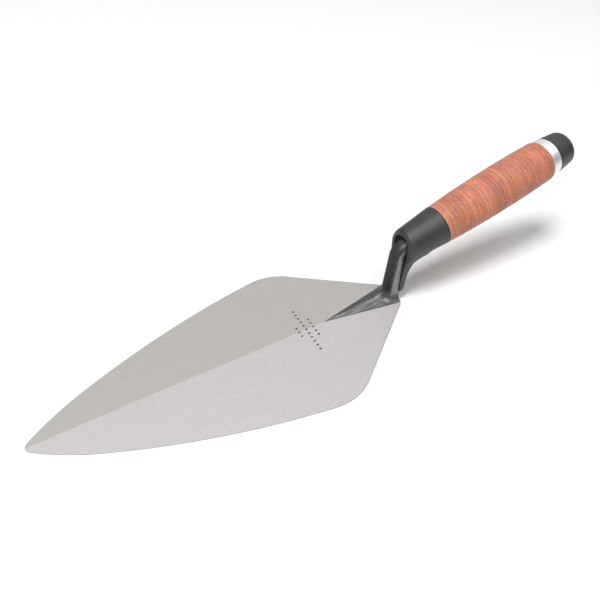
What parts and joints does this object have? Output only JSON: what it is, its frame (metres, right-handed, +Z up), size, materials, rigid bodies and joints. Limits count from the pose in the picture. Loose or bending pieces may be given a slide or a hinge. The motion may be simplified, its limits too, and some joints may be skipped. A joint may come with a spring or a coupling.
{
  "type": "brick trowel",
  "caption": "Mason's brick trowel: pointed broad-heel blade on a cranked forged neck, moulded finger guard, stacked leather grip, aluminium collar and end cap.",
  "frame": {"origin": "on the resting plane, under the middle of the whole tool's bounding box", "axes": "+X from the blade's tip to the butt of the handle, +Y across the blade to its left, +Z up from the blade's flat underside"},
  "size_m": [0.4328, 0.138, 0.1035],
  "materials": {
    "ground_steel": "satin, fine ground grain along the blade",
    "forged_steel": "dark forged and oiled steel, semi-matte",
    "guard_plastic": "moulded, fine matte",
    "grip_leather": "sanded edge grain of stacked washers, lightly waxed",
    "collar_aluminium": "bright turned",
    "plated_steel": "zinc plated",
    "cap_plastic": "moulded, soft gloss"
  },
  "bodies": {
    "root": {"blade": "ground_steel", "neck_forging": "forged_steel", "finger_guard": "guard_plastic", "grip_washer_01": "grip_leather", "grip_washer_02": "grip_leather", "grip_washer_03": "grip_leather", "grip_washer_04": "grip_leather", "grip_washer_05": "grip_leather", "grip_washer_06": "grip_leather", "grip_washer_07": "grip_leather", "grip_washer_08": "grip_leather", "grip_washer_09": "grip_leather", "grip_washer_10": "grip_leather", "grip_washer_11": "grip_leather", "grip_washer_12": "grip_leather", "grip_washer_13": "grip_leather", "grip_washer_14": "grip_leather", "grip_washer_15": "grip_leather", "grip_washer_16": "grip_leather", "grip_washer_17": "grip_leather", "grip_washer_18": "grip_leather", "grip_washer_19": "grip_leather", "grip_washer_20": "grip_leather", "grip_washer_21": "grip_leather", "grip_washer_22": "grip_leather", "grip_washer_23": "grip_leather", "grip_washer_24": "grip_leather", "grip_washer_25": "grip_leather", "grip_washer_26": "grip_leather", "grip_washer_27": "grip_leather", "grip_washer_28": "grip_leather", "end_collar": "collar_aluminium", "tang_washer": "plated_steel", "tang_nut": "plated_steel", "end_cap": "cap_plastic"}
  },
  "joints": []
}
